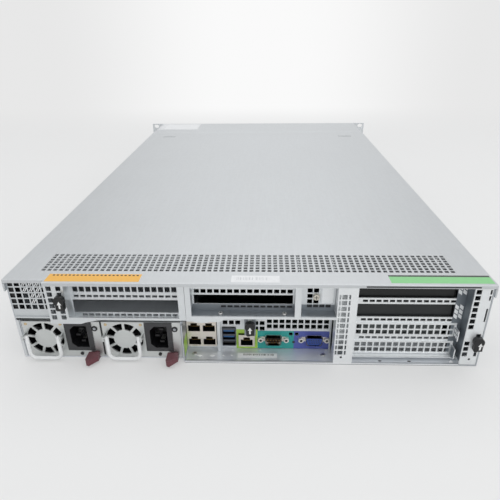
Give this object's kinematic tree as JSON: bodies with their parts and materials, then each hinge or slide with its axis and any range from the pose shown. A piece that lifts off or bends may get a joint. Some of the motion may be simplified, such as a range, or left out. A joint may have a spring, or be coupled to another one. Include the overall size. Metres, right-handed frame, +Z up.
{
  "type": "rack server",
  "caption": "Rack server two units high with perforated cover, pull-out power supplies, expansion slots and ports at the rear, drive bays and rack ears in front.",
  "frame": {"origin": "centre of the footprint, on the underside of the chassis", "axes": "+X to the right as seen from behind, +Y from the rear to the front, +Z up"},
  "size_m": [0.4826, 0.772, 0.088],
  "materials": {
    "galvanised_steel": "satin galvanised sheet",
    "bright_zinc": "bright zinc plated sheet",
    "plated_shell": "nickel plated connector shell",
    "white_wire": "white coated wire",
    "black_plastic": "fine grained black plastic",
    "dark_grey_plastic": "dark grey plastic",
    "maroon_plastic": "maroon plastic",
    "grey_plastic": "light grey plastic",
    "clear_amber_plastic": "smoked plastic air guide",
    "circuit_board": "solder masked circuit board",
    "memory_board": "circuit board with black chips",
    "cast_aluminium": "extruded aluminium fins",
    "screw_steel": "zinc plated screw heads"
  },
  "bodies": {
    "base": {"air_shroud": "clear_amber_plastic", "blank_panel": "galvanised_steel", "chassis_tray": "galvanised_steel", "cpu_heatsinks": "cast_aluminium", "drive_backplane": "circuit_board", "drive_cage": "galvanised_steel", "ear_left": "galvanised_steel", "ear_right": "galvanised_steel", "fan_housings": "black_plastic", "fan_wall": "galvanised_steel", "front_top_panel": "galvanised_steel", "io_panel": "galvanised_steel", "lan_ports": "plated_shell", "management_port": "plated_shell", "memory_modules": "memory_board", "motherboard": "circuit_board", "power_distribution_board": "circuit_board", "power_supply_cage": "galvanised_steel", "rear_vent_wall": "galvanised_steel", "riser_center_bracket": "galvanised_steel", "riser_center_card": "circuit_board", "riser_left_bracket": "galvanised_steel", "riser_left_card": "circuit_board", "riser_right_bracket": "galvanised_steel", "riser_right_card": "circuit_board", "screws": "screw_steel", "serial_port": "plated_shell", "slot_covers": "galvanised_steel", "usb_ports": "plated_shell", "vga_port": "plated_shell"},
    "cover": {"top_cover": "galvanised_steel"},
    "cover_tab_left": {"cover_release_tab_left": "grey_plastic"},
    "cover_tab_right": {"cover_release_tab_right": "grey_plastic"},
    "latch_left": {"riser_left_latch": "black_plastic"},
    "latch_center": {"riser_center_latch": "black_plastic"},
    "latch_right": {"riser_right_latch": "black_plastic"},
    "power_button": {"power_button": "grey_plastic"},
    "identify_button": {"identify_button": "grey_plastic"},
    "psu_left": {"psu_left_housing": "bright_zinc", "psu_left_power_inlet": "dark_grey_plastic"},
    "psu_left_fan": {"psu_left_fan_rotor": "black_plastic"},
    "psu_left_bail": {"psu_left_bail_handle": "white_wire"},
    "psu_left_tab": {"psu_left_release_tab": "maroon_plastic"},
    "psu_right": {"psu_right_housing": "bright_zinc", "psu_right_power_inlet": "dark_grey_plastic"},
    "psu_right_fan": {"psu_right_fan_rotor": "black_plastic"},
    "psu_right_bail": {"psu_right_bail_handle": "white_wire"},
    "psu_right_tab": {"psu_right_release_tab": "maroon_plastic"},
    "fan_1": {"fan_rotor_1": "black_plastic"},
    "fan_2": {"fan_rotor_2": "black_plastic"},
    "fan_3": {"fan_rotor_3": "black_plastic"},
    "fan_4": {"fan_rotor_4": "black_plastic"},
    "carrier_1": {"drive_carrier_1": "black_plastic"},
    "lever_1": {"drive_lever_1": "dark_grey_plastic"},
    "carrier_2": {"drive_carrier_2": "black_plastic"},
    "lever_2": {"drive_lever_2": "dark_grey_plastic"},
    "carrier_3": {"drive_carrier_3": "black_plastic"},
    "lever_3": {"drive_lever_3": "dark_grey_plastic"},
    "carrier_4": {"drive_carrier_4": "black_plastic"},
    "lever_4": {"drive_lever_4": "dark_grey_plastic"}
  },
  "joints": [
    {"name": "cover_slide", "type": "slide", "parent": "base", "child": "cover", "axis": [0, -1, 0], "range_m": [0, 0.012]},
    {"name": "cover_tab_left_press", "type": "slide", "parent": "cover", "child": "cover_tab_left", "axis": [0, 0, -1], "range_m": [0, 0.002], "stiffness_N_per_m": 1500, "springref_m": -0.001},
    {"name": "cover_tab_right_press", "type": "slide", "parent": "cover", "child": "cover_tab_right", "axis": [0, 0, -1], "range_m": [0, 0.002], "stiffness_N_per_m": 1500, "springref_m": -0.001},
    {"name": "psu_left_slide", "type": "slide", "parent": "base", "child": "psu_left", "axis": [0, -1, 0], "range_m": [0, 0.32]},
    {"name": "psu_left_fan_spin", "type": "hinge", "parent": "psu_left", "child": "psu_left_fan", "pos_m": [-0.1919, -0.3576, 0.0221], "axis": [0, 1, 0], "continuous": true},
    {"name": "psu_left_bail_swing", "type": "hinge", "parent": "psu_left", "child": "psu_left_bail", "pos_m": [-0.1919, -0.376, 0.0275], "axis": [-1, 0, 0], "range_deg": [0, 90]},
    {"name": "psu_left_tab_press", "type": "slide", "parent": "psu_left", "child": "psu_left_tab", "axis": [-1, 0, 0], "range_m": [0, 0.0025], "stiffness_N_per_m": 1500, "springref_m": -0.001},
    {"name": "psu_right_slide", "type": "slide", "parent": "base", "child": "psu_right", "axis": [0, -1, 0], "range_m": [0, 0.32]},
    {"name": "psu_right_fan_spin", "type": "hinge", "parent": "psu_right", "child": "psu_right_fan", "pos_m": [-0.1155, -0.3576, 0.0221], "axis": [0, 1, 0], "continuous": true},
    {"name": "psu_right_bail_swing", "type": "hinge", "parent": "psu_right", "child": "psu_right_bail", "pos_m": [-0.1155, -0.376, 0.0275], "axis": [-1, 0, 0], "range_deg": [0, 90]},
    {"name": "psu_right_tab_press", "type": "slide", "parent": "psu_right", "child": "psu_right_tab", "axis": [-1, 0, 0], "range_m": [0, 0.0025], "stiffness_N_per_m": 1500, "springref_m": -0.001},
    {"name": "latch_left_lift", "type": "slide", "parent": "base", "child": "latch_left", "axis": [0, 0, 1], "range_m": [0, 0.005]},
    {"name": "latch_center_lift", "type": "slide", "parent": "base", "child": "latch_center", "axis": [0, 0, 1], "range_m": [0, 0.005]},
    {"name": "latch_right_lift", "type": "slide", "parent": "base", "child": "latch_right", "axis": [0, 0, 1], "range_m": [0, 0.005]},
    {"name": "fan_1_spin", "type": "hinge", "parent": "base", "child": "fan_1", "pos_m": [-0.16148, 0.089, 0.0412], "axis": [0, 1, 0], "continuous": true},
    {"name": "fan_2_spin", "type": "hinge", "parent": "base", "child": "fan_2", "pos_m": [-0.05382, 0.089, 0.0412], "axis": [0, 1, 0], "continuous": true},
    {"name": "fan_3_spin", "type": "hinge", "parent": "base", "child": "fan_3", "pos_m": [0.05382, 0.089, 0.0412], "axis": [0, 1, 0], "continuous": true},
    {"name": "fan_4_spin", "type": "hinge", "parent": "base", "child": "fan_4", "pos_m": [0.16148, 0.089, 0.0412], "axis": [0, 1, 0], "continuous": true},
    {"name": "carrier_1_slide", "type": "slide", "parent": "base", "child": "carrier_1", "axis": [0, 1, 0], "range_m": [0, 0.155]},
    {"name": "lever_1_swing", "type": "hinge", "parent": "carrier_1", "child": "lever_1", "pos_m": [-0.1174, 0.3634, 0.0156], "axis": [0, 0, -1], "range_deg": [0, 60]},
    {"name": "carrier_2_slide", "type": "slide", "parent": "base", "child": "carrier_2", "axis": [0, 1, 0], "range_m": [0, 0.155]},
    {"name": "lever_2_swing", "type": "hinge", "parent": "carrier_2", "child": "lever_2", "pos_m": [-0.0118, 0.3634, 0.0156], "axis": [0, 0, -1], "range_deg": [0, 60]},
    {"name": "carrier_3_slide", "type": "slide", "parent": "base", "child": "carrier_3", "axis": [0, 1, 0], "range_m": [0, 0.155]},
    {"name": "lever_3_swing", "type": "hinge", "parent": "carrier_3", "child": "lever_3", "pos_m": [0.0938, 0.3634, 0.0156], "axis": [0, 0, -1], "range_deg": [0, 60]},
    {"name": "carrier_4_slide", "type": "slide", "parent": "base", "child": "carrier_4", "axis": [0, 1, 0], "range_m": [0, 0.155]},
    {"name": "lever_4_swing", "type": "hinge", "parent": "carrier_4", "child": "lever_4", "pos_m": [0.1994, 0.3634, 0.0156], "axis": [0, 0, -1], "range_deg": [0, 60]},
    {"name": "power_button_press", "type": "slide", "parent": "base", "child": "power_button", "axis": [0, -1, 0], "range_m": [0, 0.0015], "stiffness_N_per_m": 800, "springref_m": -0.001},
    {"name": "identify_button_press", "type": "slide", "parent": "base", "child": "identify_button", "axis": [0, -1, 0], "range_m": [0, 0.0015], "stiffness_N_per_m": 800, "springref_m": -0.001}
  ]
}
